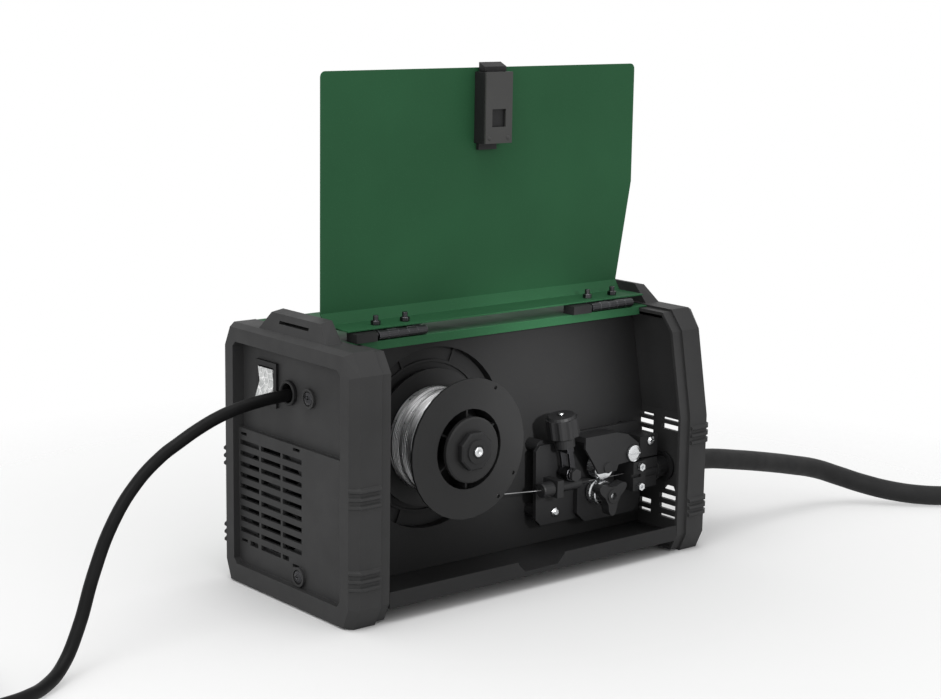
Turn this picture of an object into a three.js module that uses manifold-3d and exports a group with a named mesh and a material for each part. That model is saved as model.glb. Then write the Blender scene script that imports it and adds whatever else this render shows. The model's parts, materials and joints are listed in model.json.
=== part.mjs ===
// A small gasless MIG welding machine with its side door open, in millimetres, +Z up.
// +X points to the front panel, the door is on the -Y side, and Z = 0 is the floor.
import * as THREE from 'three';
import { ConvexGeometry } from 'three/addons/geometries/ConvexGeometry.js';
import { mergeVertices } from 'three/addons/utils/BufferGeometryUtils.js';
import Module from 'manifold-3d';

const wasm = await Module();
wasm.setup();

// ---- Driving sizes ----------------------------------------------------------------------

const HALF_WIDTH = 79.6;
const HEIGHT = 188;
const CAP_END = 168.4;            // outer rim of each plastic end cap
const CAP_SHOULDER = 145.2;       // where the cap's full-size body ends and its strip starts
const STRIP_END = 136.7;          // inner end of the strip that the sheets rest on
const RIM_CHAMFER = 5.4;
const STRIP_INSET = 1.7;
const CAP_WALL = 4.2;
const LEAN_FROM = 105;            // the front cap leans back above this height
const LEAN = 0.18;                // and by this much per millimetre

const REAR_PANEL = { upper: 158.9, lower: 163.2, inner: 156, lowerInner: 160.5, step: 113 };
const FRONT_PANEL = { outer: 152, inner: 149 };

const SHEET = 1;                  // cover and door
const SHEET_INSET = 0.4;
const TRAY = { bottom: 10.5, thick: 1.2, lip: 21.9 };
const WALL_Y = -23.9;             // near face of the inner wall
const WALL_THICK = 1.2;
const WELL = { x: -59.5, z: 107.8, radius: 65.6, floor: -16 };

const HINGE = { y: -43.6, z: 191.2, barrel: 3.2, pin: 1.5, leaf: 1.2, length: 41 };
const HINGE_STARTS = [-122.6, 73.2];
const COVER_LIP = 181.6;

const SPOOL = { near: -66.4, far: -21.4, radius: 50, drum: 31, bore: 8, wound: 38 };
const WIRE = { y: -50, z: 61.5, radius: 0.4 };
const ROLLER = { x: 80.9, radius: 9.55, near: -55.5, far: -45.5 };
const DRIVE_Z = WIRE.z - 0.5 - ROLLER.radius;
const PRESSURE_Z = WIRE.z + 0.5 + ROLLER.radius;
const FEEDER = { near: -40, far: -36.5 };
const ARM_PIVOT = { x: 106.2, z: 79.4 };
const TENSION_PIVOT = { x: 49.5, z: 70.5 };
const TENSION_TILT = 11;

const TORCH = { y: WIRE.y, z: WIRE.z, adaptor: 8.2 };
const EARTH = { y: 38, z: 32 };
const GLAND = { y: 7, z: 147.4 };
const SWITCH = { y: 33.5, z: 149.6, wide: 25, tall: 31.5 };
const FAN = { y: 23, z: 68, side: 80, near: -160.1, far: -140.1 };
const KNOBS = [{ name: 'voltage_knob', y: 46 }, { name: 'wire_speed_knob', y: 10 }];
const KNOB_Z = 142;

// The mains lead and the torch cable. Each leaves its gland, falls to the floor and is put away
// as a flat coil of two layers. `side` is the way along X that it leaves.
const MAINS = {
  radius: 4.25, side: -1, centre: [-462, -10], outer: 57, inner: 35.5, stub: 36,
  route: [[-157, 7, 146], [-180, 7, 144.8], [-200, 7, 142], [-214, 7, 138.7], [-231, 7, 132.5],
    [-248, 6.4, 124.7], [-262, 5, 118], [-284, 1, 103], [-306, -7, 82], [-326, -18, 55],
    [-344, -31, 28], [-362, -43, 10], [-380, -55, 4.7], [-397, -63.7, 4.5], [-413, -67, 4.5],
    [-425.6, -67, 4.5]],
};
const TORCH_CABLE = {
  radius: 8, side: 1, centre: [686, -40], outer: 92, inner: 67.7, stub: 58,
  route: [[165.6, -50, 61.5], [180, -50, 61.2], [196, -50, 59.9], [228, -50, 54.3], [268, -50, 46.2],
    [295, -50, 40.1], [327, -51.5, 32], [347, -57.5, 24.5], [366, -69, 17], [384, -85, 11.5],
    [402, -102, 8.8], [421, -117, 8.3], [444, -127.5, 8.3], [472, -132, 8.3], [510, -132, 8.3],
    [550, -132, 8.3], [590, -132, 8.3], [627.6, -132, 8.3]],
};
const COIL_GAP = 1;               // the coil's solid is this much larger than its turns
const PLUG = { x: -498.3, z: 19.4 };
const HANDLE = { x: 749, z: 17.6 };

// ---- Colours ----------------------------------------------------------------------------

const BLACK_PLASTIC = { color: 0x353638, roughness: 0.62, metalness: 0 };
const DARK_PLASTIC = { color: 0x1d1e20, roughness: 0.5, metalness: 0 };
const BLACK_SHEET = { color: 0x2b2c2e, roughness: 0.55, metalness: 0.1 };
const GREEN_SHEET = { color: 0x1f5a36, roughness: 0.42, metalness: 0.1 };
const BLACK_STEEL = { color: 0x26272a, roughness: 0.4, metalness: 0.8 };
const STEEL = { color: 0xb4b6b8, roughness: 0.3, metalness: 1 };
const ALUMINIUM = { color: 0xa4a8ab, roughness: 0.45, metalness: 1 };
const BRASS = { color: 0xb08d4a, roughness: 0.35, metalness: 1 };
const COPPER = { color: 0xa8623a, roughness: 0.4, metalness: 1 };
const RUBBER = { color: 0x18191a, roughness: 0.75, metalness: 0 };
const CLEAR_PLASTIC = { color: 0xd9dcd6, roughness: 0.3, metalness: 0 };
const BOARD_GREEN = { color: 0x23543a, roughness: 0.6, metalness: 0 };

// ---- Helpers ----------------------------------------------------------------------------

const machine = new THREE.Group();

// The three.js geometry as a manifold solid, facing outwards.
function solid(geometry) {
  const bare = geometry.clone();
  bare.deleteAttribute('normal');
  bare.deleteAttribute('uv');
  const merged = mergeVertices(bare, 1e-4);
  const at = merged.attributes.position;
  let triangles = [];
  let volume = 0;
  const [a, b, c] = [new THREE.Vector3(), new THREE.Vector3(), new THREE.Vector3()];
  for (let i = 0; i < merged.index.count; i += 3) {
    const corner = [0, 1, 2].map((k) => merged.index.getX(i + k));
    if (new Set(corner).size < 3) continue;
    [a, b, c].forEach((v, k) => v.fromBufferAttribute(at, corner[k]));
    volume += a.dot(b.cross(c));
    triangles.push(corner);
  }
  if (volume < 0) triangles = triangles.map(([i, j, k]) => [i, k, j]);
  const vertProperties = new Float32Array(at.array);
  const triVerts = new Uint32Array(triangles.flat());
  return new wasm.Manifold(new wasm.Mesh({ numProp: 3, vertProperties, triVerts }));
}

function join(...solids) {
  return wasm.Manifold.union(solids.flat(Infinity));
}

function cut(body, ...tools) {
  return wasm.Manifold.difference(body, join(tools));
}

// Adds one named mesh to the machine, or to another group.
function part(name, shape, look, group = machine) {
  const mesh = shape.getMesh();
  const geometry = new THREE.BufferGeometry();
  geometry.setAttribute('position', new THREE.Float32BufferAttribute(mesh.vertProperties, 3));
  geometry.setIndex([...mesh.triVerts]);
  geometry.computeVertexNormals();
  const node = new THREE.Mesh(geometry, new THREE.MeshStandardMaterial(look));
  node.name = name;
  group.add(node);
  return node;
}

function box(x0, x1, y0, y1, z0, z1) {
  const geometry = new THREE.BoxGeometry(x1 - x0, y1 - y0, z1 - z0);
  return solid(geometry.translate((x0 + x1) / 2, (y0 + y1) / 2, (z0 + z1) / 2));
}

// Turns geometry made along Z so that it runs along another axis, from `start`.
const TURNS = {
  x: new THREE.Matrix4().makeBasis(
    new THREE.Vector3(0, 1, 0), new THREE.Vector3(0, 0, 1), new THREE.Vector3(1, 0, 0)),
  y: new THREE.Matrix4().makeBasis(
    new THREE.Vector3(1, 0, 0), new THREE.Vector3(0, 0, 1), new THREE.Vector3(0, -1, 0)),
  z: new THREE.Matrix4(),
};

function along(geometry, axis, start) {
  const offset = { x: [start, 0, 0], y: [0, start, 0], z: [0, 0, start] }[axis];
  return solid(geometry.applyMatrix4(TURNS[axis]).translate(...offset));
}

function ring(radius, sides, turn = 0, u = 0, v = 0) {
  return Array.from({ length: sides }, (_, i) => {
    const angle = turn + (2 * Math.PI * i) / sides;
    return [u + radius * Math.cos(angle), v + radius * Math.sin(angle)];
  });
}

const vectors = (points) => points.map(([u, v]) => new THREE.Vector2(u, v));

// A plate of the outline's shape between two positions on the axis. The outline is in
// (y, z) for axis x, (x, z) for axis y and (x, y) for axis z.
function plate(axis, from, to, outline, holes = []) {
  const shape = new THREE.Shape(vectors(outline));
  shape.holes = holes.map((hole) => new THREE.Path(vectors(hole)));
  const geometry = new THREE.ExtrudeGeometry(shape, { depth: to - from, bevelEnabled: false });
  return along(geometry, axis, axis === 'y' ? to : from);
}

// A solid of revolution. The profile holds [position on the axis, radius] pairs.
function turned(axis, centre, profile, sides = 20) {
  const geometry = new THREE.LatheGeometry(vectors(profile.map(([p, r]) => [r, p])), sides);
  const stand = new THREE.Matrix4().makeBasis(
    new THREE.Vector3(1, 0, 0), new THREE.Vector3(0, 0, 1), new THREE.Vector3(0, -1, 0));
  geometry.applyMatrix4(stand);
  const turn = axis === 'y' ? new THREE.Matrix4().makeRotationX(-Math.PI / 2) : TURNS[axis];
  return solid(geometry.applyMatrix4(turn).translate(...centre));
}

function rod(axis, from, to, radius, u, v, sides = 20) {
  return plate(axis, from, to, ring(radius, sides, Math.PI / sides, u, v));
}

function pipe(axis, from, to, outer, inner, u, v, sides = 20) {
  const turn = Math.PI / sides;
  return plate(axis, from, to, ring(outer, sides, turn, u, v), [ring(inner, sides, turn, u, v)]);
}

function hull(points) {
  return solid(new ConvexGeometry(points.map((p) => new THREE.Vector3(...p))));
}

// A round tube along a hand-picked route.
function tube(route, radius, sides, steps) {
  const path = new THREE.CatmullRomCurve3(route.map((p) => new THREE.Vector3(...p)));
  const shape = new THREE.Shape(vectors(ring(radius, sides)));
  return solid(new THREE.ExtrudeGeometry(shape, { steps, extrudePath: path }));
}

function moved(body, dx, dy, dz) {
  return body.translate([dx, dy, dz]);
}

function mirroredX(body) {
  return body.mirror([1, 0, 0]);
}

// ---- End caps ---------------------------------------------------------------------------

// The machine's eight-sided outline in (y, z), inset by `inset`.
function section(inset) {
  const side = HALF_WIDTH - inset;
  const half = [
    [73 - 0.6 * inset, inset],
    [side, 14 + 0.25 * inset],
    [side, 173 - 0.28 * inset],
    [70.4 - 0.56 * inset, HEIGHT - inset],
  ];
  return [...half, ...half.map(([y, z]) => [-y, z]).reverse()];
}

function rimOutline() {
  const side = HALF_WIDTH - RIM_CHAMFER;
  const half = [[68.5, 1], [side, 15], [side, 171.6], [67.6, HEIGHT - 2.5]];
  return [...half, ...half.map(([y, z]) => [-y, z]).reverse()];
}

// The rectangle that the end panel sits back in, with small corners cut off.
function recess(grow) {
  const [y, low, high, corner] = [64.5 + grow, 14 - grow, 175.6 + grow, 3.5];
  return [[-y + corner, low], [y - corner, low], [y, low + corner], [y, high - corner],
    [y - corner, high], [-y + corner, high], [-y, high - corner], [-y, low + corner]];
}

// Three grip ribs that follow the rim's chamfer on both sides of the cap.
function gripRibs(heights) {
  const ribs = [];
  for (const z of heights) {
    for (const side of [-1, 1]) {
      const route = [[-CAP_END + 0.3, HALF_WIDTH - RIM_CHAMFER], [-CAP_END + RIM_CHAMFER, HALF_WIDTH],
        [-CAP_SHOULDER - 1, HALF_WIDTH]];
      const points = [[0, 1.9], [1.8, 0.8]].flatMap(([out, tall]) => route.flatMap(([x, y], i) => {
        const dx = i === 0 ? -0.7 * out : 0;
        return [-tall, tall].map((dz) => [x + dx, side * (y + out * (i === 0 ? 0.7 : 1)), z + dz]);
      }));
      const root = [[-CAP_SHOULDER - 1, side * 77, z], [-CAP_END + 4, side * 74, z]];
      ribs.push(hull([...points, ...root]));
    }
  }
  return ribs;
}

// The raised block on top of a cap, with the strap slot in its outer face.
function capHump() {
  const points = [-1, 1].flatMap((side) => [
    [-162.7, side * 40, HEIGHT - 2], [-162.7, side * 40, HEIGHT - 0.5],
    [-159, side * 29, 200.5], [-149.5, side * 29, 202],
    [-149, side * 40, HEIGHT - 0.5], [-149, side * 40, HEIGHT - 2],
  ]);
  return cut(hull(points), box(-165, -152, -17.5, 17.5, 193.8, 196));
}

// A cap shell open to the inside, made at the rear end. `panel` is the end panel's faces.
function capShell(panel) {
  const at = (x, outline) => outline.map(([y, z]) => [x, y, z]);
  const body = hull([...at(-CAP_END, rimOutline()), ...at(-CAP_END + RIM_CHAMFER, section(0)),
    ...at(-CAP_SHOULDER, section(0))]);
  const strip = plate('x', -CAP_SHOULDER - 1, -STRIP_END, section(STRIP_INSET));
  const inside = plate('x', -panel.inner, -STRIP_END + 1, section(CAP_WALL));
  const rimHollow = cut(
    plate('x', -CAP_END + 4, -panel.inner + 1, section(CAP_WALL + 0.8)),
    plate('x', -CAP_END, -panel.inner + 2, recess(3)));
  const ribs = gripRibs([85.5, 91, 96.5, 29.2, 34.7, 40.2]);
  return cut(join(body, strip, capHump(), ribs), inside, rimHollow);
}

// Louvre slots of the rear panel: nine full rows, a short row and four small slots.
function grille() {
  const [front, back] = [-REAR_PANEL.lower - 1, -REAR_PANEL.inner + 1];
  const columns = [[39.4, 63.6], [12.6, 37], [-12.9, 10.2]];
  const slots = [];
  for (let row = 0; row < 9; row += 1) {
    const z = 102.6 - 8 * row;
    columns.forEach(([y0, y1]) => slots.push(box(front, back, y0, y1, z - 1.8, z + 1.8)));
  }
  for (const [y0, y1] of [[41, 51], [12.6, 37], [2.5, 10.2]]) {
    slots.push(box(front, back, y0, y1, 28.8, 32.4));
  }
  for (const [y, z] of [[59, 109], [-6.5, 110.2], [58.5, 31], [-6, 27.6]]) {
    slots.push(box(front, back, y - 4, y + 4, z - 1.1, z + 1.1));
  }
  return slots;
}

const REAR_SCREWS = [
  { name: 'upper_rear_screw', y: -17, z: 147.5, face: -REAR_PANEL.upper, boss: 7 },
  { name: 'lower_rear_screw', y: -11, z: 21.3, face: -REAR_PANEL.lower, boss: 7 },
];

function rearCap() {
  const { upper, lower, step, lowerInner, inner } = REAR_PANEL;
  const deep = recess(0).map(([y, z]) => [y, Math.max(z, step)]);
  const bosses = REAR_SCREWS.map((s) => rod('x', s.face - 2.4, s.face + 1, s.boss, s.y, s.z, 24));
  const screwHoles = REAR_SCREWS.flatMap((s) => [
    rod('x', s.face - 3, s.face - 0.6, 5.2, s.y, s.z, 20),
    rod('x', s.face - 3, s.face + 6, 2.3, s.y, s.z, 16)]);
  const shell = cut(
    capShell(REAR_PANEL),
    plate('x', -CAP_END - 1, -lower, recess(0)),
    plate('x', -CAP_END - 1, -upper, [deep[2], deep[3], deep[4], deep[5], deep[6], deep[7]]),
    box(-lowerInner, -inner + 1, -64, 64, 17, step - 3),
    ...grille(),
    box(-upper - 1, -inner + 1, SWITCH.y - 11, SWITCH.y + 11, SWITCH.z - 14, SWITCH.z + 14),
    rod('x', -upper - 1, -inner + 1, 7.7, GLAND.y, GLAND.z, 20));
  return cut(join(shell, bosses), screwHoles);
}

// Louvre slots of the front panel beside the wire compartment, as [y0, y1, z0, z1].
const FRONT_SLOTS = [
  [-65, -46.2, 97.5, 99.7], [-37, -24, 97.5, 99.7],
  [-65, -46.2, 90.4, 94.7], [-37, -15.8, 90.4, 94.7],
  [-37, -15.8, 83, 87.2],
  [-66.5, -46.2, 35.4, 39.6],
  [-66.5, -46.2, 27.5, 31.7], [-37.1, -24.7, 27.5, 31.7],
  [-66.5, -46.2, 20.9, 23.3], [-37.1, -24.7, 21.2, 23.8],
];

function frontVents() {
  const [inside, outside] = [FRONT_PANEL.inner - 1, FRONT_PANEL.outer + 1];
  const slots = FRONT_SLOTS.map((slot) => box(inside, outside, ...slot));
  const topSlot = plate('x', inside, outside, [[-63.3, 42.8], [-49.2, 42.8], [-53, 47], [-61, 47]]);
  for (let row = 0; row < 7; row += 1) {
    const z = 97 - 6.5 * row;
    slots.push(box(inside, outside, 8, 60, z - 1.7, z + 1.7));
  }
  return [...slots, topSlot];
}

function leanBack(body) {
  const [upper, lower] = body.splitByPlane([0, 0, 1], LEAN_FROM);
  const shear = [1, 0, 0, 0, 0, 1, 0, 0, -LEAN, 0, 1, 0, LEAN * LEAN_FROM, 0, 0, 1];
  return join(upper.transform(shear), lower);
}

function frontCap() {
  const { outer, inner } = FRONT_PANEL;
  const holes = [
    rod('x', inner - 1, outer + 1, 8.5, TORCH.y, TORCH.z, 28),
    rod('x', inner - 1, outer + 1, 10.3, EARTH.y, EARTH.z, 28),
    ...KNOBS.map((k) => rod('x', inner - 4, outer + 1, 4.3, k.y, KNOB_Z, 20)),
    ...frontVents(),
  ];
  const shell = cut(mirroredX(capShell(FRONT_PANEL)), plate('x', outer, CAP_END + 1, recess(0)), holes);
  return leanBack(shell);
}

function rearScrew({ name, y, z, face }) {
  const head = turned('x', [0, y, z], [[face - 2.6, 0], [face - 2.6, 2.6], [face - 2.1, 4.4],
    [face - 0.9, 4.4], [face - 0.9, 0]], 20);
  const slot = join(box(face - 3, face - 1.6, y - 2.4, y + 2.4, z - 0.4, z + 0.4),
    box(face - 3, face - 1.6, y - 0.4, y + 0.4, z - 2.4, z + 2.4));
  part(name, cut(join(head, rod('x', face - 1.2, face + 5, 2, y, z, 12)), slot), BLACK_STEEL);
}

// ---- Tray, inner wall and cover ---------------------------------------------------------

function baseTray() {
  const { bottom, thick, lip } = TRAY;
  const edge = HALF_WIDTH - STRIP_INSET;
  const end = STRIP_END - 0.4;
  const notch = [[-22, lip + 1], [-22, 20.5], [-15.5, 14.2], [15.5, 14.2], [22, 20.5], [22, lip + 1]];
  const folded = [[-edge, lip], [-edge, bottom], [edge, bottom], [edge, lip], [edge - thick, lip],
    [edge - thick, bottom + thick], [-edge + thick, bottom + thick], [-edge + thick, lip]];
  return cut(
    join(plate('x', -end, end, folded), box(-154, 147, -60, 60, bottom, bottom + thick)),
    plate('y', -edge - 1, -edge + 3, notch));
}

// The wall's outline in (x, z): it reaches into both caps below their top.
function wallOutline() {
  const [low, high, capHigh] = [TRAY.bottom + TRAY.thick + 0.3, 186.3, 182];
  const lean = (x, z) => x - LEAN * Math.max(0, z - LEAN_FROM);
  const front = FRONT_PANEL.inner - 0.4;
  return [
    [-153, low], [front, low], [front, LEAN_FROM], [lean(front, capHigh), capHigh],
    [lean(STRIP_END - 0.6, capHigh), capHigh], [lean(STRIP_END - 0.6, high), high],
    [-STRIP_END + 0.6, high], [-STRIP_END + 0.6, capHigh], [-153, capHigh],
  ];
}

function dividerWall() {
  const { x, z, radius, floor } = WELL;
  const far = WALL_Y + WALL_THICK;
  const sides = 48;
  const hole = ring(radius, sides, 0, x, z);
  const feeder = [ring(7, 20, 0, ROLLER.x, DRIVE_Z)];
  const sheet = plate('y', WALL_Y, far, wallOutline(), [hole, ...feeder]);
  const dish = cut(
    plate('y', WALL_Y, floor + 1.5, ring(radius + 1.5, sides, 0, x, z)),
    plate('y', WALL_Y - 1, floor, ring(radius, sides, 0, x, z)));
  const bead = pipe('y', floor - 1.6, floor + 0.5, 55.5, 53.5, x, z, sides);
  const spokes = Array.from({ length: 8 }, (_, i) => moved(
    box(55, radius + 0.5, -0.9, 0.9, 0, 2).rotate([90, 0, 0]).rotate([0, 22.5 + 45 * i, 0]),
    x, floor + 0.4, z));
  return cut(join(sheet, dish, bead, spokes), rod('y', floor - 1, floor + 3, 4.2, x, z));
}

// Everything above the slope of the front cap's shoulder, for trimming the sheets.
function trimFront(body, x) {
  const low = body.trimByPlane([-1, 0, 0], -x);
  const offset = -(x + LEAN * LEAN_FROM) / Math.hypot(1, LEAN);
  return low.trimByPlane([-1, 0, -LEAN], offset);
}

// A strip of sheet that follows an outline in (y, z), `SHEET` thick on its inner side.
function foldedSheet(outer, inner) {
  return plate('x', -CAP_SHOULDER + 0.5, CAP_SHOULDER, [...outer, ...inner.reverse()]);
}

function topCover() {
  const o = section(SHEET_INSET);
  const i = section(SHEET_INSET + SHEET);
  const lipY = HINGE.y - 1.2;
  const outer = [[lipY, COVER_LIP], [lipY, o[3][1]], o[3], o[2], [o[1][0], TRAY.bottom]];
  const inner = [[lipY + SHEET, COVER_LIP], [lipY + SHEET, i[3][1]], i[3], i[2],
    [i[1][0], TRAY.bottom]];
  const body = trimFront(foldedSheet(outer, inner), CAP_SHOULDER - 0.5);
  const lipSides = [lipY - 1, lipY + SHEET, 180, HEIGHT - SHEET_INSET - SHEET];
  const lipEnds = [box(-CAP_SHOULDER, -STRIP_END + 0.4, ...lipSides),
    leanBack(box(STRIP_END - 0.4, CAP_SHOULDER, ...lipSides))];
  return cut(body, lipEnds, rivetPlaces.flatMap(({ x }) => rod('z', 180, 190, 2.3, x, RIVET_Y, 12)));
}

// ---- Door, hinges and latch -------------------------------------------------------------

const RIVET_Y = -31;
const rivetPlaces = HINGE_STARTS.flatMap((start) => [8, 33].map((dx) => ({ x: start + dx })));

// The door is drawn closed and about its hinge line, in a group that holds it open.
const door = new THREE.Group();
door.position.set(0, HINGE.y, HINGE.z);
door.rotation.x = -Math.PI;
machine.add(door);

function doorPart(name, shape, look) {
  return part(name, moved(shape, 0, -HINGE.y, -HINGE.z), look, door);
}

const DOOR_BOTTOM = 16.2;
const DOOR_CORNER = 4;            // radius of the door's free corners
const DOOR_EDGE_Y = HINGE.y - 2.6;
const DOOR_INNER = -(HALF_WIDTH - SHEET_INSET - SHEET);
const DOOR_BEVEL = { y: -72.4, z: 180.2 };

function doorSheet() {
  const top = HEIGHT - SHEET_INSET;
  const side = DOOR_INNER - SHEET;
  const outer = [[side, DOOR_BOTTOM], [side, DOOR_BEVEL.z], [DOOR_BEVEL.y, top], [DOOR_EDGE_Y, top]];
  const inner = [[DOOR_INNER, DOOR_BOTTOM], [DOOR_INNER, DOOR_BEVEL.z - 0.4],
    [DOOR_BEVEL.y + 0.4, top - SHEET], [DOOR_EDGE_Y, top - SHEET]];
  const sheet = trimFront(foldedSheet(outer, inner), CAP_SHOULDER - 1.1);
  const holes = rivetPlaces.map(({ x }) => rod('z', 180, 190, 2.3, x, 2 * HINGE.y - RIVET_Y, 12));
  const slide = box(-5, 5, side - 1, DOOR_INNER + 1, LATCH.slot[0], LATCH.slot[1]);
  const corners = [[0.5 - CAP_SHOULDER, 1], [CAP_SHOULDER - 1.1, -1]].map(([x, way]) => {
    const reach = [x - way, x + way * DOOR_CORNER].sort((a, b) => a - b);
    const block = box(...reach, side - 1, DOOR_INNER + 1, DOOR_BOTTOM - 1, DOOR_BOTTOM + DOOR_CORNER);
    return cut(block, rod('y', side - 2, DOOR_INNER + 2, DOOR_CORNER, x + way * DOOR_CORNER,
      DOOR_BOTTOM + DOOR_CORNER, 24));
  });
  return cut(sheet, holes, slide, corners);
}

// Knuckles of one hinge half: even ones belong to the fixed leaf, which grips the pin, and odd
// ones turn on it.
function knuckles(start, first) {
  const step = HINGE.length / 5;
  const rings = [];
  for (let i = first; i < 5; i += 2) {
    const gap = 0.15;
    const bore = first ? HINGE.pin + 0.2 : HINGE.pin - 0.3;
    rings.push(pipe('x', start + i * step + gap, start + (i + 1) * step - gap, HINGE.barrel,
      bore, HINGE.y, HINGE.z, 12));
  }
  return rings;
}

// A leaf with its knuckles and the two riveted studs that hold it to the sheet. `side` is
// +1 for the leaf on the cover and -1 for the leaf on the closed door.
function hingeLeaf(start, first, side) {
  const step = HINGE.length / 5;
  const low = HINGE.z - HINGE.barrel;
  const blade = [HINGE.y + side * 4.4, HINGE.y + side * 20].sort((a, b) => a - b);
  const y = side > 0 ? RIVET_Y : 2 * HINGE.y - RIVET_Y;
  const tabs = [];
  for (let i = first; i < 5; i += 2) {
    const ends = [HINGE.y, HINGE.y + side * 5].sort((a, b) => a - b);
    tabs.push(box(start + i * step + 0.15, start + (i + 1) * step - 0.15, ...ends, low,
      low + HINGE.leaf));
  }
  const under = HEIGHT - SHEET_INSET - SHEET;
  const studs = [8, 33].flatMap((dx) => [
    rod('z', under - 0.5, low + 0.5, 2, start + dx, y, 12),
    rod('z', under - 3, under - 0.2, 3.4, start + dx, y, 6),
    rod('z', under - 6.5, under - 2.8, 1.9, start + dx, y, 12),
    rod('z', low + 0.6, low + HINGE.leaf + 0.9, 3, start + dx, y, 12)]);
  const plateBody = box(start, start + HINGE.length, ...blade, low, low + HINGE.leaf);
  return join(plateBody, tabs, knuckles(start, first), studs);
}

function hinges() {
  HINGE_STARTS.forEach((start, index) => {
    const name = ['rear', 'front'][index];
    const pin = rod('x', start - 1.2, start + HINGE.length + 1.2, HINGE.pin, HINGE.y, HINGE.z, 12);
    part(`${name}_hinge_leaf`, join(hingeLeaf(start, 0, 1), pin), BLACK_STEEL);
    doorPart(`${name}_door_leaf`, hingeLeaf(start, 1, -1), BLACK_STEEL);
  });
}

const LATCH = { half: 12.2, low: 19, high: 69.2, deep: 12.4, slot: [38, 52] };

// The black box behind the door sheet that guides the latch bolt.
function latchHousing() {
  const { half, low, high, deep } = LATCH;
  const back = DOOR_INNER + 0.3;
  const shell = box(-half, half, back, back + deep - 1.8, low, high);
  const ear = box(-half + 2, half - 6, back, back + 3, high - 1, high + 5);
  const channel = box(-8.4, 8.4, back - 1, back + 8.2, low - 1, high - 8);
  const mouth = box(-10.4, 10.4, back - 1, back + 8.2, low - 1, low + 6.4);
  const screwPosts = [-8.6, 8.6].map((x) => rod('y', back + 4, back + deep, 1.3, x, high - 4, 12));
  return cut(join(shell, ear), channel, mouth, screwPosts);
}

// The grey cover plate with its square window and two rivets.
function latchPlate() {
  const { half, low, high, deep } = LATCH;
  const [near, far] = [DOOR_INNER + deep - 1, DOOR_INNER + deep + 0.6];
  const sheet = cut(box(-half, half, near, far, low, high), box(-6.3, 6.3, near - 1, far + 1, 45, 57.6));
  const rivets = [-8.6, 8.6].flatMap((x) => [
    rod('y', near - 5, near + 0.5, 1.15, x, high - 4, 12),
    turned('y', [x, 0, high - 4], [[far - 0.4, 0], [far - 0.4, 1.9], [far + 0.5, 1.4],
      [far + 0.9, 0]], 14)]);
  return join(sheet, rivets);
}

// The sprung bolt, with its nose below the door's edge and its thumb pad outside.
function latchBolt() {
  const back = DOOR_INNER + 0.6;
  const slab = box(-8, 8, back, back + 7.6, LATCH.low - 3, 54);
  const [lower, upper] = [12.4, 18.7];
  const nose = hull([-10, 10].flatMap((x) => [[x, back + 1.2, lower], [x, back + 1.2, upper],
    [x, back + 7.6, lower + 3], [x, back + 7.6, upper]]));
  const neck = box(-4.6, 4.6, DOOR_INNER - SHEET - 1.2, back + 1, LATCH.slot[0] + 0.4, LATCH.slot[0] + 7);
  const pad = box(-9, 9, DOOR_INNER - SHEET - 3.6, DOOR_INNER - SHEET - 0.4, LATCH.slot[0] - 6,
    LATCH.slot[0] + 10);
  return join(slab, nose, neck, pad);
}

function doorBuffer(start) {
  const y = HINGE.y;
  return box(start, start + 17.5, y - 3.4, y + 8, HEIGHT - 0.1, HINGE.z + 2.8);
}

// ---- Spool ------------------------------------------------------------------------------

function spoolAt(shape) {
  return moved(shape, WELL.x, 0, WELL.z);
}

function spindle() {
  const profile = [[WELL.floor - 0.3, 0], [WELL.floor - 0.3, 18], [WELL.floor - 3, 18],
    [WELL.floor - 4.4, 14], [WELL.floor - 4.4, SPOOL.bore - 0.2],
    [SPOOL.near - 0.8, SPOOL.bore - 0.2], [SPOOL.near - 0.8, 4.4], [-76.2, 4.4], [-77, 3.6],
    [-77, 0]];
  return turned('y', [WELL.x, 0, WELL.z], profile, 24);
}

function wireSpool() {
  const { near, far, radius, drum, bore } = SPOOL;
  const sides = 32;
  const flange = (from, to) => pipe('y', from, to, radius, drum - 2.5, 0, 0, sides);
  const holes = [-29.5, -54.4, 60.5].map((degrees) => {
    const angle = THREE.MathUtils.degToRad(degrees);
    return rod('y', near - 1, near + 3, 1.5, 46.8 * Math.cos(angle), 46.8 * Math.sin(angle), 8);
  });
  const drumTube = pipe('y', near, far, drum, drum - 2, 0, 0, sides);
  const sleeve = pipe('y', near, far, bore + 2.6, bore, 0, 0, 16);
  const spokes = Array.from({ length: 6 }, (_, i) => box(bore + 1.5, drum - 1, near + 3, far - 3, -0.7,
    0.7).rotate([0, 30 + 60 * i, 0]));
  const web = pipe('y', -46, -44.4, drum - 1, bore + 1, 0, 0, 20);
  return spoolAt(join(cut(flange(near, near + 2), holes), flange(far - 2, far), drumTube, sleeve, spokes,
    web));
}

function winding() {
  const { near, far, drum, wound } = SPOOL;
  const profile = [[near + 2.3, drum + 0.3], [near + 2.3, wound - 0.6], [near + 3, wound],
    [far - 3, wound], [far - 2.3, wound - 0.6], [far - 2.3, drum + 0.3], [near + 2.3, drum + 0.3]];
  return turned('y', [WELL.x, 0, WELL.z], profile, 32);
}

function retainingCup() {
  const n = SPOOL.near;
  const profile = [[n - 1.1, 4.6], [n - 1.1, 18], [n - 0.5, 23.4], [n - 3.2, 23.4], [n - 4, 22.2],
    [n - 4, 4.6], [n - 1.1, 4.6]];
  return turned('y', [WELL.x, 0, WELL.z], profile, 28);
}

function spoolKnob() {
  const n = SPOOL.near;
  const body = hull([[n - 4.4, 14.2], [n - 7.8, 14.2], [n - 8.8, 13]].flatMap(([y, r]) => ring(r, 8,
    Math.PI / 8).map(([x, z]) => [x, y, z])));
  const boss = rod('y', n - 9.8, n - 5, 8.4, 0, 0, 24);
  return spoolAt(cut(join(body, boss), rod('y', -80, -60, 4.6, 0, 0, 20)));
}

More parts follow.
